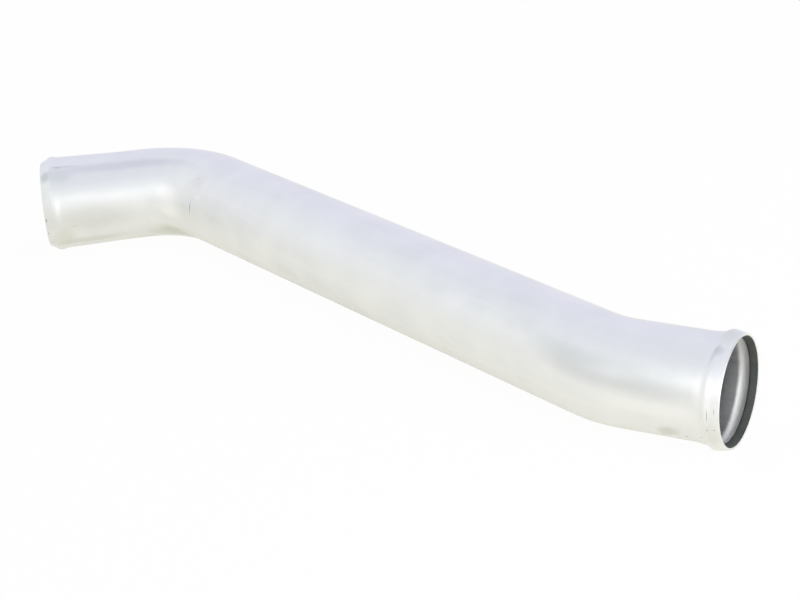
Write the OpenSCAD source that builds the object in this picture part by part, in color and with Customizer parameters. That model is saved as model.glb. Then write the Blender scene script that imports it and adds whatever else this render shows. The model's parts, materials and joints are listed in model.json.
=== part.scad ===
// Intercooler pipe: one thin aluminium tube, bent twice in opposite senses, lying at rest.
// Its inlet end is a tapered spigot behind which a hose is clamped. Its outlet end is rolled out
// into a cuff, and a rubber seal sits in the cuff's mouth.

/* [Tube] */
// Outside diameter of the tube
tube_od = 101.6; // [80:0.1:120]
// Thickness of the tube's wall
wall = 2; // [1.2:0.1:3]

/* [Route] */
// Straight length from the spigot's tip to the first bend
inlet_leg = 113; // [95:1:300]
// Turn of the first bend, in degrees
inlet_bend = 58; // [45:1:85]
// Straight length between the two bends
run = 616; // [300:1:1000]
// Turn of the second bend, the other way, in degrees
outlet_bend = 22.5; // [10:0.5:40]
// Straight length from the second bend to the mouth
outlet_leg = 104; // [60:1:300]
// Radius of both bends, measured at the tube's centreline
bend_radius = 101.6; // [90:0.1:200]

/* [Spigot] */
// Outside diameter of the spigot's tip
tip_od = 95.2; // [70:0.1:110]
// Length of the taper from the tip to the bead
taper_length = 11; // [6:0.5:20]
// How far the bead stands out from the tube
bead_rise = 3; // [1.5:0.1:6]
// Width of the bead's flat crest
bead_land = 3; // [2:0.5:8]
// Length of the slope behind the bead
bead_slope = 6; // [3:0.5:12]
// How far the hose seat behind the bead stands out from the tube
seat_rise = 1.8; // [0.5:0.1:2.5]
// Distance from the tip to where the flared hose seat meets the plain tube
seat_end = 88; // [40:1:90]
// Radius of the bead's edges
bead_round = 2.5; // [0.5:0.5:4]
// Radius of the hollow behind the bead
seat_round = 12; // [2:1:14]
// Radius that blends the flared seat into the plain tube
seat_blend = 200; // [20:10:400]

/* [Cuff] */
// How far the mouth's rim stands out from the tube
rim_rise = 2.3; // [1:0.1:5]
// How far the cuff's crest stands out from the tube
cuff_rise = 4.4; // [3:0.1:8]
// Distance from the rim to the crest
cuff_front = 11.5; // [10:0.5:15]
// Width of the crest
cuff_land = 2; // [2:0.5:6]
// Length of the steep flank behind the crest
cuff_flank = 5.3; // [4:0.1:10]
// How far the foot of that flank stands out from the tube
foot_rise = 1.2; // [0.5:0.1:2]
// Distance from the rim to where the cuff meets the plain tube
cuff_end = 31; // [30:1:58]
// Radius of the crest's edges
cuff_round = 3; // [0.5:0.5:4]
// Radius of the hollow at the flank's foot
foot_round = 6; // [2:0.5:10]
// Radius that blends the cuff's foot into the plain tube
foot_blend = 30; // [10:5:60]

/* [Seal] */
// How far the seal's lip stands in from the tube's bore
lip_rise = 0.35; // [0.05:0.05:5]
// Distance from the rim to the seal's nose
seal_inset = 0.4; // [0.2:0.1:2]
// Thickness of the seal's nose
seal_nose = 0.5; // [0.3:0.1:1]
// Distance from the rim to the front edge of the lip's land
lip_front = 6.3; // [4:0.1:7]
// Width of the lip's land
lip_land = 1.6; // [1:0.1:2]
// Distance from the rim to the seal's back edge at the cuff's wall
seal_back = 9; // [9:0.1:11]
// Clearance between the seal and the cuff's wall
seal_gap = 0.1; // [0.05:0.05:0.3]

/* [Hidden] */
$fn = 128;
arc_turn = 6;
join_scale = 1000;
tube_r = tube_od / 2;
bore_r = tube_r - wall;

// The outside of each end, from its open edge inwards: [distance from the edge, radius] at each
// corner, and the radius that rounds it.
spigot_corners = [
    [0, tip_od / 2],
    [taper_length, tube_r + bead_rise],
    [taper_length + bead_land, tube_r + bead_rise],
    [taper_length + bead_land + bead_slope, tube_r + seat_rise],
    [seat_end, tube_r],
    [inlet_leg, tube_r],
];
spigot_rounds = [0, bead_round, bead_round, seat_round, seat_blend, 0];
cuff_corners = [
    [0, tube_r + rim_rise],
    [cuff_front, tube_r + cuff_rise],
    [cuff_front + cuff_land, tube_r + cuff_rise],
    [cuff_front + cuff_land + cuff_flank, tube_r + foot_rise],
    [cuff_end, tube_r],
    [outlet_leg, tube_r],
];
cuff_rounds = [0, cuff_round, cuff_round, foot_round, foot_blend, 0];

// The route in plan, with the middle run along X from the origin.
function towards(angle) = [cos(angle), sin(angle)];
inlet_bend_start = bend_radius * [-sin(inlet_bend), cos(inlet_bend) - 1];
outlet_bend_end = [run + bend_radius * sin(outlet_bend), bend_radius * (1 - cos(outlet_bend))];
function in_inlet(depth) = inlet_bend_start - (inlet_leg - depth) * towards(inlet_bend);
function in_outlet(depth) = outlet_bend_end + (outlet_leg - depth) * towards(outlet_bend);

// The pipe lies on three points: the spigot's bead, the cuff's crest and the outside of the first
// bend. At rest the centreline's height is set by the radius that carries it at each of them.
bead_point = in_inlet(taper_length + bead_land / 2);
crest_point = in_outlet(cuff_front + cuff_land / 2);
chord = crest_point - bead_point;
chord_angle = atan2(chord.y, chord.x);
bend_point = bend_radius * [-sin(chord_angle), cos(chord_angle) - 1];
bead_to_bend = bend_point - bead_point;
crest_lift = cuff_rise - bead_rise;
bend_lift = -bead_rise;
slope = [
    crest_lift * bead_to_bend.y - bend_lift * chord.y,
    bend_lift * chord.x - crest_lift * bead_to_bend.x,
] / cross(chord, bead_to_bend);

// Plan outline of the two ends, which are the part's furthest points: [centre, heading, radius].
rings = [
    [in_inlet(0), inlet_bend, tip_od / 2],
    [bead_point, inlet_bend, tube_r + bead_rise],
    [in_outlet(0), outlet_bend, tube_r + rim_rise],
    [crest_point, outlet_bend, tube_r + cuff_rise],
];
function reach(ring) = ring[2] * [abs(sin(ring[1])), abs(cos(ring[1]))];
plan_middle = [for (i = [0, 1])
    (min([for (r = rings) r[0][i] - reach(r)[i]]) + max([for (r = rings) r[0][i] + reach(r)[i]])) / 2];
rest_height = tube_r + bead_rise - slope * (bead_point - plan_middle);

// Heading of the stretch that starts at corner i, kept within the list.
function heading(corners, i) =
    let (from = max(0, min(i, len(corners) - 2)), step = corners[from + 1] - corners[from])
    atan2(step.y, step.x);

// Corner i of an outline that lies deeper in the wall than the given one. The first and last
// corners move straight towards the axis, so that the open edge stays square to it.
function deeper(corners, i, depth) =
    let (is_end = i == 0 || i == len(corners) - 1,
         lean = is_end ? 0 : (heading(corners, i - 1) + heading(corners, i)) / 2)
    corners[i] + depth / cos(heading(corners, i) - lean) * [sin(lean), -cos(lean)];

function turned(v, angle) = [v.x * cos(angle) - v.y * sin(angle), v.x * sin(angle) + v.y * cos(angle)];

// Points of an arc of the given radius that rounds the corner b between a and c, with a point at
// least every arc_turn degrees.
function rounded(a, b, c, radius) =
    let (into = (b - a) / norm(b - a), away = (c - b) / norm(c - b),
         turn = atan2(cross(into, away), into * away), side = sign(turn),
         steps = max(2, ceil(abs(turn) / arc_turn)),
         start = b - into * radius * tan(abs(turn) / 2),
         spoke = side * radius * [into.y, -into.x])
    radius == 0 || turn == 0 ? [b]
        : [for (i = [0:steps]) start - spoke + turned(spoke, turn * i / steps)];

// The outline of an end at a depth in its wall. A round that is convex outside gets tighter with
// the depth and a hollow one gets wider, so the wall keeps its thickness.
function outline_at(corners, rounds, depth) =
    let (p = [for (i = [0:len(corners) - 1]) deeper(corners, i, depth)], last = len(p) - 1)
    [for (i = [0:last]) each i == 0 || i == last ? [p[i]]
        : rounded(p[i - 1], p[i], p[i + 1],
                  max(0, rounds[i] + depth * sign(heading(corners, i) - heading(corners, i - 1))))];

function reversed(list) = [for (i = [len(list) - 1:-1:0]) list[i]];

// Walks from the origin along X: the bend turns left from there, and what follows it starts at its
// end, along X again.
module past_bend(turn) {
    translate([0, bend_radius]) rotate(turn) translate([0, -bend_radius]) children();
}

module bend(turn) {
    reach = bend_radius + tube_od;
    difference() {
        translate([0, bend_radius]) rotate_extrude() translate([bend_radius, 0]) difference() {
            circle(tube_r);
            circle(bore_r);
        }
        translate([-2 * reach, -reach, -reach]) cube([2 * reach, 4 * reach, 2 * reach]);
        past_bend(turn) translate([0, -reach, -reach]) cube([2 * reach, 4 * reach, 2 * reach]);
    }
}

// Revolves a list of [distance from the open edge, radius] about X, with that edge at x = leg.
module revolved(outline, leg) {
    rotate([0, 90, 0]) rotate_extrude() polygon([for (p = outline) [p.y, leg - p.x]]);
}

module formed_leg(corners, rounds, leg) {
    revolved(concat(outline_at(corners, rounds, 0), reversed(outline_at(corners, rounds, wall))), leg);
}

module middle_run() {
    rotate([0, 90, 0]) difference() {
        cylinder(h = run, r = tube_r);
        translate([0, 0, -1]) cylinder(h = run + 2, r = bore_r);
    }
}

// Each side walks outwards from its end of the middle run.
module inlet_side() {
    rotate(180) children();
}

module outlet_side() {
    translate([run, 0]) children();
}

// Lays the part down: the plan's middle goes to the origin and the three points to z = 0.
module at_rest() {
    translate([0, 0, rest_height])
        rotate(a = asin(norm(slope)), v = [slope.y, -slope.x, 0])
            translate([-plan_middle.x, -plan_middle.y, 0]) children();
}

module to_join() {
    scale(1 / join_scale) children();
}

// The stretches are joined far below their real size, where the rounding of their turned frames is
// too small to leave slivers between them.
module pipe() {
    color([0.86, 0.87, 0.89]) at_rest() scale(join_scale) {
        to_join() middle_run();
        to_join() inlet_side() bend(inlet_bend);
        to_join() inlet_side() past_bend(inlet_bend) formed_leg(spigot_corners, spigot_rounds, inlet_leg);
        to_join() outlet_side() bend(outlet_bend);
        to_join() outlet_side() past_bend(outlet_bend) formed_leg(cuff_corners, cuff_rounds, outlet_leg);
    }
}

// The seal's back follows the inside of the cuff, which narrows to the rim and so holds it in.
module mouth_seal() {
    cuff_slope = heading(cuff_corners, 0);
    seat_r = cuff_corners[0].y - (wall + seal_gap) / cos(cuff_slope);
    nose = [seal_inset, seat_r + seal_inset * tan(cuff_slope)];
    back = [seal_back, seat_r + seal_back * tan(cuff_slope)];
    lip_r = bore_r - lip_rise;
    lip = [[lip_front + lip_land, lip_r], [lip_front, lip_r]];
    color([0.2, 0.21, 0.2]) at_rest() outlet_side() past_bend(outlet_bend)
        revolved([nose, back, each lip, nose - [0, seal_nose]], outlet_leg);
}

pipe();
mouth_seal();
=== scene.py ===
import json
from math import radians, tan, tau

import bmesh
import bpy
from mathutils import Matrix, Vector


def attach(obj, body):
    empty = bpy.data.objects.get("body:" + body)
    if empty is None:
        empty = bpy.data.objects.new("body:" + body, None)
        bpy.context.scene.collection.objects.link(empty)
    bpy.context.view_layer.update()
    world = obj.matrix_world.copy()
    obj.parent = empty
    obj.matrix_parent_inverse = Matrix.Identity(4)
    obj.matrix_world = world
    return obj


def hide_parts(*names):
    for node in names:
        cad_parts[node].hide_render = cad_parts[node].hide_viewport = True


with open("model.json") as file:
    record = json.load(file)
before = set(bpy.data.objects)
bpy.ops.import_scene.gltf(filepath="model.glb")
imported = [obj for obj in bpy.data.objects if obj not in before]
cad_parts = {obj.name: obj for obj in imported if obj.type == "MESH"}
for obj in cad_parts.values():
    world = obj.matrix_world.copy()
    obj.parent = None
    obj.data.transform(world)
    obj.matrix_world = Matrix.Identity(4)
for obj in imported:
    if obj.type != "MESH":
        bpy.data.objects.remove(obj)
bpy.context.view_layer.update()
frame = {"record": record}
print("frame loaded")

mm = 0.001
samePlace = 0.001 * mm
straightName = "straightTube"  # vertex attribute: where a point lay before the tube was bent

# One tube, bent twice in opposite senses. Each end's outline runs from its open edge inwards:
# (distance from the edge, radius, radius of the corner there).
tube = dict(
    radius=50.8 * mm,
    wall=2 * mm,
    inletLeg=113 * mm,
    inletBend=radians(58),
    run=616 * mm,
    outletBend=radians(22.5),
    outletLeg=104 * mm,
    bendRadius=101.6 * mm,
    spigot=[
        (0, 47.6 * mm, 0),
        (11 * mm, 53.8 * mm, 2.5 * mm),
        (14 * mm, 53.8 * mm, 2.5 * mm),
        (20 * mm, 52.6 * mm, 12 * mm),
        (88 * mm, 50.8 * mm, 200 * mm),
    ],
    cuff=[
        (0, 53.1 * mm, 0),
        (11.5 * mm, 55.2 * mm, 3 * mm),
        (13.5 * mm, 55.2 * mm, 3 * mm),
        (18.8 * mm, 52.0 * mm, 6 * mm),
        (31 * mm, 50.8 * mm, 30 * mm),
    ],
    around=160,  # faces round the tube
    bendStep=radians(1.5),
    runStep=12 * mm,
    roundStep=radians(5),
    fewestRoundSteps=2,
    sawnCorner=radians(50),  # only the sawn edges turn more than this
    boreTurn=radians(120),  # faces that look further from outwards than this are the bore's
    rimRound=0.35 * mm,
    rimRoundSteps=3,
)

# The straight tube lies along X, and its middle run starts at the origin.
inletArc = tube["bendRadius"] * tube["inletBend"]
outletArc = tube["bendRadius"] * tube["outletBend"]
tipEnd = -inletArc - tube["inletLeg"]
rimEnd = tube["run"] + outletArc + tube["outletLeg"]


# Where a point of the straight tube lies once both bends are made.
def bent(point):
    for start, side, turn in ((0, -1, tube["inletBend"]), (tube["run"], 1, tube["outletBend"])):
        beyond = (point.x - start) * side
        if beyond > 0:
            angle = min(beyond / tube["bendRadius"], turn)
            centre = Vector((start, side * tube["bendRadius"], 0))
            fed = point - Vector((side * tube["bendRadius"] * angle, 0, 0))
            return centre + Matrix.Rotation(angle, 3, "Z") @ (fed - centre)
    return point.copy()


# Matrix that lays the bent tube down as the part lies in the frame: its two mounts give the way.
def layDown():
    mounts = {m["name"]: m for m in frame["record"]["mounts"]}
    socket = Vector(mounts["outlet_socket"]["pos_m"])
    outletWay = Vector(mounts["outlet_socket"]["axis"])
    inletWay = -Vector(mounts["inlet_spigot"]["axis"])
    up = outletWay.cross(inletWay).normalized()
    along = Matrix.Rotation(-tube["outletBend"], 3, up) @ outletWay
    turned = Matrix((along, up.cross(along), up)).transposed().to_4x4()
    lipMiddle = (seal["section"][2][0] + seal["section"][3][0]) / 2
    lip = bent(Vector((rimEnd - lipMiddle, 0, 0)))
    return Matrix.Translation(socket) @ turned @ Matrix.Translation(-lip)


def fromAxis(point):
    return Vector((0, point.y, point.z)).normalized()


# Spins points (place along the tube, radius) about X and turns the faces outwards.
def spun(points, closed, around):
    bm = bmesh.new()
    verts = [bm.verts.new((place, radius, 0)) for place, radius in points]
    pairs = list(zip(verts, verts[1:] + verts[:1])) if closed else list(zip(verts, verts[1:]))
    edges = [bm.edges.new(pair) for pair in pairs]
    bmesh.ops.spin(bm, geom=verts + edges, cent=(0, 0, 0), axis=(1, 0, 0), angle=tau, steps=around,
                   use_merge=True)
    bmesh.ops.recalc_face_normals(bm, faces=bm.faces[:])
    if not closed and bm.faces[0].normal.dot(fromAxis(bm.faces[0].calc_center_median())) < 0:
        bmesh.ops.reverse_faces(bm, faces=bm.faces[:])
    return bm


def roundEdges(bm, edges, offset, steps):
    bmesh.ops.bevel(bm, geom=edges, offset=offset, offset_type="OFFSET", segments=steps, profile=0.5,
                    affect="EDGES", material=-1)


# Rounds the ring of edges that lies at one place along the tube.
def roundRing(bm, place, radius):
    ring = [e for e in bm.edges if all(abs(v.co.x - place) < samePlace for v in e.verts)]
    turn = abs(ring[0].calc_face_angle())
    steps = max(tube["fewestRoundSteps"], round(turn / tube["roundStep"]))
    roundEdges(bm, ring, radius * tan(turn / 2), steps)


# Cuts the tube square at its open edge, as the saw leaves it, and closes its wall there.
def cutSquare(bm, place, way):
    bmesh.ops.bisect_plane(bm, geom=bm.verts[:] + bm.edges[:] + bm.faces[:], plane_co=(place, 0, 0),
                           plane_no=(way, 0, 0), clear_outer=True)
    opened = [e for e in bm.edges if e.is_boundary and e.verts[0].co.x * way > 0]
    bridge = bmesh.ops.bridge_loops(bm, edges=opened)
    for face in bridge["faces"]:
        face.normal_update()
        if face.normal.x * way < 0:
            face.normal_flip()


# Keeps each point's straight place for the materials, then bends the piece and lays it down.
def bendAndPlace(bm):
    before = bm.verts.layers.float_vector.new(straightName)
    toFrame = layDown()
    for vert in bm.verts:
        vert[before] = vert.co
        vert.co = toFrame @ bent(vert.co)


def finishPiece(bm, name, materials, node):
    for face in bm.faces:
        face.smooth = True
    mesh = bpy.data.meshes.new(name)
    bm.to_mesh(mesh)
    bm.free()
    for material in materials:
        mesh.materials.append(material)
    piece = bpy.data.objects.new(name, mesh)
    bpy.context.scene.collection.objects.link(piece)
    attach(piece, "root")
    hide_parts(node)
    print(name, len(mesh.polygons), "faces")


# A point that carries on from inner through edge by a length along the tube.
def carriedOn(inner, edge, length):
    slope = (edge[1] - inner[1]) / (edge[0] - inner[0])
    way = length if edge[0] > inner[0] else -length
    return (edge[0] + way, edge[1] + way * slope)


def makeTube(materials):
    spigot = [(tipEnd + d, r) for d, r, _ in tube["spigot"]]
    cuff = [(rimEnd - d, r) for d, r, _ in reversed(tube["cuff"])]
    # Both outlines start a little outside the real edge, to be cut square there.
    spigot[0] = carriedOn(spigot[1], spigot[0], tube["wall"])
    cuff[-1] = carriedOn(cuff[-2], cuff[-1], tube["wall"])
    plain = []
    for start, length, step in ((-inletArc, inletArc, tube["bendRadius"] * tube["bendStep"]),
                                (0, tube["run"], tube["runStep"]),
                                (tube["run"], outletArc, tube["bendRadius"] * tube["bendStep"])):
        count = round(length / step)
        plain += [(start + length * i / count, tube["radius"]) for i in range(count)]
    plain.append((rimEnd - tube["outletLeg"], tube["radius"]))
    bm = spun(spigot + plain + cuff, False, tube["around"])
    for d, _, r in tube["spigot"][1:]:
        roundRing(bm, tipEnd + d, r)
    for d, _, r in tube["cuff"][1:]:
        roundRing(bm, rimEnd - d, r)
    bmesh.ops.solidify(bm, geom=bm.faces[:], thickness=tube["wall"])
    cutSquare(bm, tipEnd, -1)
    cutSquare(bm, rimEnd, 1)
    bm.normal_update()
    rims = [e for e in bm.edges if e.is_manifold and e.calc_face_angle() > tube["sawnCorner"]]
    roundEdges(bm, rims, tube["rimRound"], tube["rimRoundSteps"])
    bm.normal_update()
    for face in bm.faces:
        turn = face.normal.angle(fromAxis(face.calc_center_median()))
        face.material_index = 1 if turn > tube["boreTurn"] else 0
    bendAndPlace(bm)
    finishPiece(bm, "bentTube", materials, "pipe")


# Moulded ring in the cuff's mouth. Its section runs round from the nose: (distance from the rim, radius).
seal = dict(
    section=[
        (0.4 * mm, 51.04 * mm),
        (9 * mm, 52.61 * mm),
        (7.9 * mm, 48.45 * mm),
        (6.3 * mm, 48.45 * mm),
        (0.4 * mm, 50.54 * mm),
    ],
    around=160,
    corner=radians(15),  # the section's corners turn more than this
    edgeRound=0.2 * mm,
    edgeRoundSteps=3,
)


def makeSeal(material):
    bm = spun([(rimEnd - d, r) for d, r in seal["section"]], True, seal["around"])
    bm.normal_update()
    corners = [e for e in bm.edges if e.calc_face_angle() > seal["corner"]]
    roundEdges(bm, corners, seal["edgeRound"], seal["edgeRoundSteps"])
    bendAndPlace(bm)
    finishPiece(bm, "mouthSeal", [material], "mouth_seal")


# sRGB hex to the linear colour that a socket holds.
def hexColour(text):
    parts = [int(text[i:i + 2], 16) / 255 for i in (1, 3, 5)]
    return [c / 12.92 if c <= 0.04045 else ((c + 0.055) / 1.055) ** 2.4 for c in parts] + [1]


# Adds a node with its settings. An input that is a socket, or a node's first output, is linked.
def addNode(tree, kind, inputs=None, **settings):
    node = tree.nodes.new(kind)
    for name, value in settings.items():
        setattr(node, name, value)
    for name, value in (inputs or {}).items():
        if isinstance(value, bpy.types.Node):
            value = next(output for output in value.outputs if output.enabled)
        if isinstance(value, bpy.types.NodeSocket):
            tree.links.new(value, node.inputs[name])
        else:
            node.inputs[name].default_value = value
    return node


def newMaterial(name):
    material = bpy.data.materials.new(name)
    material.use_nodes = True
    material.node_tree.nodes.clear()
    return material


# Drawn and mandrel-bent aluminium tube: satin, with soft streaks along it from the die, dull patches
# from handling, and a few dents, scratches, smudges and nicks. Many listed patches are painted light:
# white painted highlights, grey painted reflection bands, and painted shade along the underside and
# about the cuff. Sizes are along the tube, then across it.
aluminium = dict(
    pale="#f4f5f5",
    dull="#ebeced",
    patches=dict(size=(45.5 * mm, 45.5 * mm, 45.5 * mm), edges=(0.35, 0.7), detail=4),
    streaks=dict(size=(200 * mm, 14.3 * mm, 14.3 * mm), edges=(0.3, 0.75), detail=3),
    betweenStreaks=0.25,  # share of a patch that shows there
    # The real scratches are hair fine, and would not show: these are about 1 mm wide.
    scratches=dict(size=(55.5 * mm, 1.11 * mm, 1.11 * mm), edges=(0, 1), detail=2),
    scratchDepth=0.004,  # in mm, as the marks' depth
    roughness=(0.42, 0.54),  # where pale, and where dull
    waverSize=5.556 * mm,
    waverDetail=3,
    waver=1.2 * mm,  # how far the marks' outlines stray
    markAndPaintedLightEdges=(0.25, 1.25),  # in half sizes: where a mark or a patch of painted light starts to fade, and where it ends
    # (along the tube, round it from its near side, length, width, turn), in mm and degrees, then
    # the colour, its share and how deep the mark is pressed in.
    marksAndPaintedLight=[
        # painted shade: a dark line painted along a small crease inside the first bend, which is pressed in
        # only 0.02 mm
        (15.2, -11, 1.2, 18, 2, "#6d7074", 0.7, 0.02),
        # painted highlight: a small white glint on the first bend
        (25, -27, 12, 6, -20, "#ffffff", 0.35, 0),
        (17, -46, 26, 22, 10, "#d0ced4", 0.2, 0),
        (13.5, -50, 6, 2.5, 10, "#a8a8b0", 0.18, 0),
        # painted highlights: two broad white patches on the first bend
        (-46, -20, 60, 24, 5, "#ffffff", 0.7, 0),
        (-40, 2, 60, 22, 5, "#ffffff", 0.7, 0),
        # a greenish-yellow tint low on the first bend
        (-57, 32, 60, 16, 8, "#d2d4be", 0.35, 0),
        (-196, -70, 10, 6, 0, "#aeb2c2", 0.25, 0),
        (-188, -71, 34, 3, 0, "#a8acc0", 0.3, 0),
        (-210.3, -58, 13, 16, 0, "#a9b8b4", 0.45, 0),
        # painted reflection: a teal-grey band high on the left leg, near the tip
        (-195, -54, 34, 18, 0, "#c6cfcf", 0.28, 0),
        # painted highlight: a white band along the left leg
        (-180, -26, 60, 11, 0, "#ffffff", 0.2, 0),
        # painted shade: a grey patch that dims the glare on the left leg's near side
        (-165, 2, 120, 40, 0, "#d8d9d4", 0.45, 0),
        # painted reflection: a blue-grey band along the top of the left leg and the first bend
        (-120, -64, 230, 16, 0, "#cacdd6", 0.32, 0),
        # painted shade: darker bands along the underside of the first bend and of the run
        (-55, 40, 100, 20, 0, "#cfd0c3", 0.42, 0),
        (300, 47, 720, 7, 0, "#b9b9b0", 0.4, 0),
        (-183, 11.5, 7, 1, -6, "#b98f86", 0.5, 0),
        (-197, 29, 30, 30, 15, "#c9c8b4", 0.3, 0),
        # painted shade: a darker band along the underside of the left leg
        (-170, 40, 110, 14, 0, "#cfcfc2", 0.35, 0),
        (-214.3, 1, 1.2, 5, 0, "#6f7478", 0.8, 0),
        (-213.8, 22, 1.2, 3, 0, "#6f7478", 0.8, 0),
        # painted shade: a dark patch and arc in the hollow at the cuff's foot, near its top
        (749.2, -66, 12, 11, 0, "#bcbec6", 0.3, 0),
        (746.7, -62, 6, 24, 12, "#b6bac4", 0.28, 0),
        # greys the cuff near its top edge
        (752, -94, 18, 34, 0, "#d4d8d2", 0.4, 0),
        # painted shade: a darker grey band along the outlet leg
        (658, -25, 170, 34, 6, "#cbcdce", 0.55, 0),
        # painted highlight: a white band low on the outlet leg
        (700, 4, 100, 18, 0, "#ffffff", 0.35, 0),
        # painted highlights: white patches at the cuff's foot; the larger one is also pressed in a little
        (749, -15, 8, 34, 0, "#ffffff", 0.7, 0),
        (743, -26, 22, 36, 0, "#ffffff", 0.7, 0.2),
        # painted shade: a darker patch low on the cuff
        (753, 22, 16, 42, 0, "#dadad2", 0.4, 0),
        # painted shade: a darker line on the cut face of the rim
        (759.9, -72, 1.2, 60, 0, "#8f9294", 0.3, 0),
        (749.4, -1.5, 0.8, 13, 0, "#6d6f70", 0.7, 0.1),
        (755.6, -6, 0.7, 7, 0, "#6d6f70", 0.65, 0.1),
        (749, 14.5, 1.2, 1.4, 0, "#4e5050", 0.85, 0),
        (755.4, 14.2, 1.2, 1.4, 0, "#4e5050", 0.85, 0),
        (708, 34, 26, 18, -25, "#c0bfb4", 0.4, 0),
        (700.7, 46, 4, 1.6, 0, "#777a7a", 0.6, 0),
        (724.7, 38.5, 5, 1.6, 0, "#7b7e80", 0.6, 0),
        (740.2, 32, 4, 1.4, 0, "#7b7e80", 0.6, 0),
    ],
)


# A random pattern of soft spots of one size, from 0 between them to 1 on them.
def spots(tree, place, size, edges, detail):
    inSizes = addNode(tree, "ShaderNodeVectorMath", {0: place, 1: size}, operation="DIVIDE")
    noise = addNode(tree, "ShaderNodeTexNoise", {"Vector": inSizes, "Scale": 1, "Detail": detail})
    return addNode(tree, "ShaderNodeMapRange", {"Value": noise, "From Min": edges[0], "From Max": edges[1]})


# The tube's surface rolled out flat: along it, and round it from the side that faces the camera.
def rolledOut(tree, place):
    parts = addNode(tree, "ShaderNodeSeparateXYZ", {"Vector": place})
    backY = addNode(tree, "ShaderNodeMath", {0: parts.outputs["Y"], 1: -1}, operation="MULTIPLY")
    backZ = addNode(tree, "ShaderNodeMath", {0: parts.outputs["Z"], 1: -1}, operation="MULTIPLY")
    angle = addNode(tree, "ShaderNodeMath", {0: backZ, 1: backY}, operation="ARCTAN2")
    arc = addNode(tree, "ShaderNodeMath", {0: angle, 1: tube["radius"]}, operation="MULTIPLY")
    return addNode(tree, "ShaderNodeCombineXYZ", {"X": parts.outputs["X"], "Y": arc})


# Where one mark or patch of painted light lies: 1 in its middle, fading to 0 at its edge.
def markAndPaintedLightShare(tree, flat, along, around, length, width, turn):
    inHalves = addNode(tree, "ShaderNodeMapping",
                       {"Vector": flat, "Location": (along * mm, radians(around) * tube["radius"], 0),
                        "Rotation": (0, 0, radians(turn)), "Scale": (length / 2 * mm, width / 2 * mm, 1)},
                       vector_type="TEXTURE")
    reach = addNode(tree, "ShaderNodeVectorMath", {0: inHalves}, operation="LENGTH")
    start, end = aluminium["markAndPaintedLightEdges"]
    return addNode(tree, "ShaderNodeMapRange",
                   {"Value": reach, "From Min": start, "From Max": end, "To Min": 1, "To Max": 0},
                   interpolation_type="SMOOTHSTEP")


def drawnAluminium():
    material = newMaterial("mandrel-bent satin aluminium")
    tree = material.node_tree
    place = addNode(tree, "ShaderNodeAttribute", attribute_name=straightName).outputs["Vector"]
    patches = spots(tree, place, **aluminium["patches"])
    streaks = spots(tree, place, **aluminium["streaks"])
    shown = addNode(tree, "ShaderNodeMapRange", {"Value": streaks, "To Min": aluminium["betweenStreaks"]})
    dullness = addNode(tree, "ShaderNodeMath", {0: patches, 1: shown}, operation="MULTIPLY")
    colour = addNode(tree, "ShaderNodeMix",
                     {"Factor": dullness, "A": hexColour(aluminium["pale"]),
                      "B": hexColour(aluminium["dull"])},
                     data_type="RGBA")
    scratches = spots(tree, place, **aluminium["scratches"])
    height = addNode(tree, "ShaderNodeMath", {0: scratches, 1: aluminium["scratchDepth"]},
                     operation="MULTIPLY")
    # The noise's colour is a random way, once its middle grey is taken off.
    waver = addNode(tree, "ShaderNodeTexNoise",
                    {"Vector": place, "Scale": 1 / aluminium["waverSize"],
                     "Detail": aluminium["waverDetail"]})
    way = addNode(tree, "ShaderNodeVectorMath", {0: waver.outputs["Color"], 1: (0.5, 0.5, 0.5)},
                  operation="SUBTRACT")
    wavy = addNode(tree, "ShaderNodeVectorMath",
                   {0: way, 1: [aluminium["waver"]] * 3, 2: rolledOut(tree, place)},
                   operation="MULTIPLY_ADD")
    for *spot, tint, share, depth in aluminium["marksAndPaintedLight"]:
        lies = markAndPaintedLightShare(tree, wavy, *spot)
        covers = addNode(tree, "ShaderNodeMath", {0: lies, 1: share}, operation="MULTIPLY")
        colour = addNode(tree, "ShaderNodeMix", {"Factor": covers, "A": colour, "B": hexColour(tint)},
                         data_type="RGBA")
        if depth:
            height = addNode(tree, "ShaderNodeMath", {0: lies, 1: -depth, 2: height},
                             operation="MULTIPLY_ADD")
    relief = addNode(tree, "ShaderNodeBump", {"Height": height, "Distance": mm, "Strength": 1})
    smooth, rough = aluminium["roughness"]
    roughness = addNode(tree, "ShaderNodeMapRange", {"Value": dullness, "To Min": smooth, "To Max": rough})
    shader = addNode(tree, "ShaderNodeBsdfPrincipled",
                     {"Base Color": colour, "Metallic": 1, "Roughness": roughness, "Normal": relief})
    addNode(tree, "ShaderNodeOutputMaterial", {"Surface": shader})
    return material


# The same tube's inside, as the mill left it: a little darker than outside under a dry oxide, with
# streaks along it. By the mouth, in the pocket behind the seal that lies in shade, a band is painted
# paler as painted light, and made rough.
boreMetal = dict(
    pale="#dbdcdd",
    dull="#bfc1c3",
    streaks=dict(size=(333 * mm, 9.09 * mm, 9.09 * mm), edges=(0.35, 0.7), detail=3),
    roughness=0.4,
    rolled=(15.5 * mm, 18.5 * mm),  # from the rim: where the painted light band starts to end, and ends
    rolledColour="#fafafa",
    rolledRoughness=0.92,
)


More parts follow.
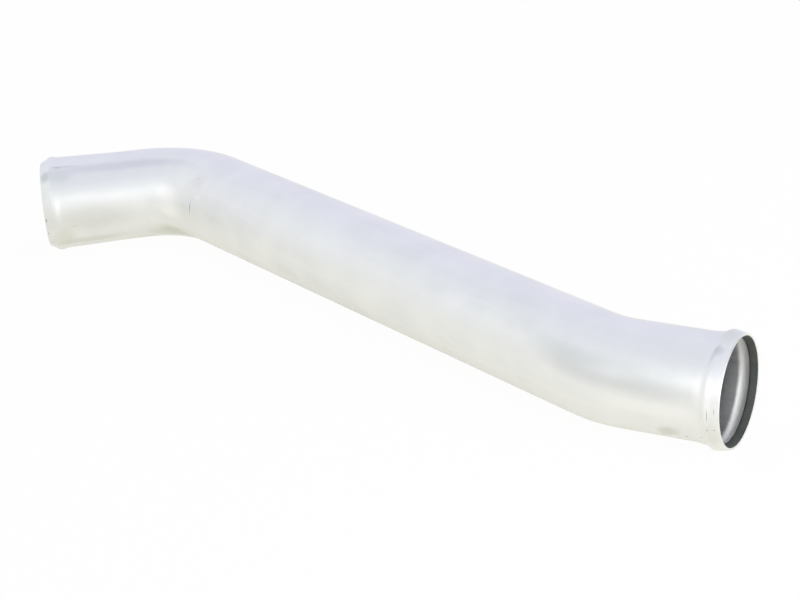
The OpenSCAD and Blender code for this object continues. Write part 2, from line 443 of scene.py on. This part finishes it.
def millBore():
    material = newMaterial("mill-finish aluminium bore")
    tree = material.node_tree
    place = addNode(tree, "ShaderNodeAttribute", attribute_name=straightName).outputs["Vector"]
    streaks = spots(tree, place, **boreMetal["streaks"])
    bare = addNode(tree, "ShaderNodeMix",
                   {"Factor": streaks, "A": hexColour(boreMetal["pale"]), "B": hexColour(boreMetal["dull"])},
                   data_type="RGBA")
    along = addNode(tree, "ShaderNodeSeparateXYZ", {"Vector": place}).outputs["X"]
    near, far = boreMetal["rolled"]
    # The paler colour here is painted light, in the pocket behind the seal that lies in shade.
    rolled = addNode(tree, "ShaderNodeMapRange",
                     {"Value": along, "From Min": rimEnd - far, "From Max": rimEnd - near})
    colour = addNode(tree, "ShaderNodeMix",
                     {"Factor": rolled, "A": bare, "B": hexColour(boreMetal["rolledColour"])},
                     data_type="RGBA")
    roughness = addNode(tree, "ShaderNodeMapRange",
                        {"Value": rolled, "To Min": boreMetal["roughness"],
                         "To Max": boreMetal["rolledRoughness"]})
    shader = addNode(tree, "ShaderNodeBsdfPrincipled",
                     {"Base Color": colour, "Metallic": 1, "Roughness": roughness})
    addNode(tree, "ShaderNodeOutputMaterial", {"Surface": shader})
    return material


# Moulded EPDM: near black and a little green, with a soft broad sheen and a fine moulded grain, which
# is drawn several times as coarse as it is, to show.
rubber = dict(
    dark="#383c3a",
    dusty="#454946",
    dust=dict(size=(11.11 * mm, 11.11 * mm, 11.11 * mm), edges=(0.4, 0.75), detail=3),
    grain=dict(size=(0.667 * mm, 0.667 * mm, 0.667 * mm), edges=(0, 1), detail=2),
    grainDepth=0.006 * mm,
    roughness=0.55,
)


def blackRubber():
    material = newMaterial("moulded black EPDM rubber")
    tree = material.node_tree
    place = addNode(tree, "ShaderNodeAttribute", attribute_name=straightName).outputs["Vector"]
    dust = spots(tree, place, **rubber["dust"])
    colour = addNode(tree, "ShaderNodeMix",
                     {"Factor": dust, "A": hexColour(rubber["dark"]), "B": hexColour(rubber["dusty"])},
                     data_type="RGBA")
    grain = spots(tree, place, **rubber["grain"])
    relief = addNode(tree, "ShaderNodeBump",
                     {"Height": grain, "Distance": rubber["grainDepth"], "Strength": 1})
    shader = addNode(tree, "ShaderNodeBsdfPrincipled",
                     {"Base Color": colour, "Roughness": rubber["roughness"], "Normal": relief})
    addNode(tree, "ShaderNodeOutputMaterial", {"Surface": shader})
    return material


makeTube([drawnAluminium(), millBore()])
makeSeal(blackRubber())

# The camera stands where the photo was taken: past the mouth, in front of the pipe and above it.
camera = dict(
    place=(1.56468, -1.10595, 0.96594),
    lookAt=(0.07743, 0.00217, 0.055),
    roll=radians(-5.963),
    lens=92.467,
    sensor=36,
    sees=50,  # metres
)


def makeCamera():
    data = bpy.data.cameras.new("photoCamera")
    data.lens = camera["lens"]
    data.sensor_width = camera["sensor"]
    data.clip_end = camera["sees"]
    eye = bpy.data.objects.new("photoCamera", data)
    eye.location = camera["place"]
    aim = (Vector(camera["lookAt"]) - Vector(camera["place"])).to_track_quat("-Z", "Y")
    eye.rotation_mode = "QUATERNION"
    eye.rotation_quaternion = aim @ Matrix.Rotation(camera["roll"], 3, "Z").to_quaternion()
    bpy.context.scene.collection.objects.link(eye)
    bpy.context.scene.camera = eye
    print("camera placed")


# A pale floor that the camera sees as white, under a white sky that turns grey-violet high up and
# behind the pipe. The sky's colours go up from the horizon: (height, colour).
studio = dict(
    floorSize=24,
    floorColour="#f6f4ee",
    floorGlow="#fbf9ee",
    seenGlow=0.96,
    mirroredGlow=0.62,
    white="#ffffff",
    sky=[(0, "#ebeceb"), (0.42, "#fafbfb"), (0.7, "#f2f5f6"), (0.88, "#e3e5ef"), (1, "#e6e7f1")],
    skyStrength=1.0,
    behind=(-0.82, 0.57, 0),
    behindEdges=(0.35, 0.85),  # how closely a ray runs that way: where the violet starts, and is full
    behindColour="#e8e8f7",
    # (place, what it faces, width, height, watts)
    softBoxes=[
        ((1.0, -2.25, 1.55), (0, 0, 0.05), 3.4, 0.6, 4.5),
        ((1.25, 0.1, 0.32), (0.44, 0.08, 0.05), 0.45, 0.45, 4),
    ],
)


# The floor glows to the camera and to what mirrors it, and keeps the pipe's shadow.
def makeFloor():
    bm = bmesh.new()
    bmesh.ops.create_grid(bm, x_segments=1, y_segments=1, size=studio["floorSize"] / 2)
    mesh = bpy.data.meshes.new("floor")
    bm.to_mesh(mesh)
    bm.free()
    floor = bpy.data.objects.new("floor", mesh)
    bpy.context.scene.collection.objects.link(floor)
    material = newMaterial("pale studio floor")
    tree = material.node_tree
    path = addNode(tree, "ShaderNodeLightPath")
    seen = path.outputs["Is Camera Ray"]
    mirrored = addNode(tree, "ShaderNodeMath", {0: path.outputs["Is Glossy Ray"], 1: studio["mirroredGlow"]},
                       operation="MULTIPLY")
    share = addNode(tree, "ShaderNodeMath", {0: seen, 1: studio["seenGlow"], 2: mirrored},
                    operation="MULTIPLY_ADD")
    matt = addNode(tree, "ShaderNodeBsdfDiffuse", {"Color": hexColour(studio["floorColour"])})
    tint = addNode(tree, "ShaderNodeMix",
                   {"Factor": seen, "A": hexColour(studio["floorGlow"]), "B": hexColour(studio["white"])},
                   data_type="RGBA")
    glow = addNode(tree, "ShaderNodeEmission", {"Color": tint, "Strength": 1})
    both = addNode(tree, "ShaderNodeMixShader", {0: share, 1: matt, 2: glow})
    addNode(tree, "ShaderNodeOutputMaterial", {"Surface": both})
    mesh.materials.append(material)
    print("floor laid")


def makeSky():
    world = bpy.data.worlds.new("studio")
    bpy.context.scene.world = world
    world.use_nodes = True
    tree = world.node_tree
    tree.nodes.clear()
    way = addNode(tree, "ShaderNodeTexCoord").outputs["Generated"]
    height = addNode(tree, "ShaderNodeSeparateXYZ", {"Vector": way}).outputs["Z"]
    sky = hexColour(studio["sky"][0][1])
    for (low, _), (high, colour) in zip(studio["sky"], studio["sky"][1:]):
        share = addNode(tree, "ShaderNodeMapRange", {"Value": height, "From Min": low, "From Max": high})
        sky = addNode(tree, "ShaderNodeMix", {"Factor": share, "A": sky, "B": hexColour(colour)},
                      data_type="RGBA")
    closeness = addNode(tree, "ShaderNodeVectorMath", {0: way, 1: studio["behind"]}, operation="DOT_PRODUCT")
    start, full = studio["behindEdges"]
    share = addNode(tree, "ShaderNodeMapRange", {"Value": closeness, "From Min": start, "From Max": full})
    sky = addNode(tree, "ShaderNodeMix", {"Factor": share, "A": sky, "B": hexColour(studio["behindColour"])},
                  data_type="RGBA")
    seen = addNode(tree, "ShaderNodeLightPath").outputs["Is Camera Ray"]
    shown = addNode(tree, "ShaderNodeMix", {"Factor": seen, "A": sky, "B": hexColour(studio["white"])},
                    data_type="RGBA")
    light = addNode(tree, "ShaderNodeBackground", {"Color": shown, "Strength": studio["skyStrength"]})
    addNode(tree, "ShaderNodeOutputWorld", {"Surface": light})
    print("sky painted")


def makeSoftBoxes():
    for place, faces, width, height, watts in studio["softBoxes"]:
        data = bpy.data.lights.new("softBox", "AREA")
        data.shape = "RECTANGLE"
        data.size = width
        data.size_y = height
        data.energy = watts
        lamp = bpy.data.objects.new("softBox", data)
        lamp.location = place
        lamp.rotation_euler = (Vector(faces) - Vector(place)).to_track_quat("-Z", "Y").to_euler()
        bpy.context.scene.collection.objects.link(lamp)
    print(len(studio["softBoxes"]), "soft boxes hung")


makeCamera()
makeFloor()
makeSky()
makeSoftBoxes()
bpy.context.scene.view_settings.view_transform = "Standard"
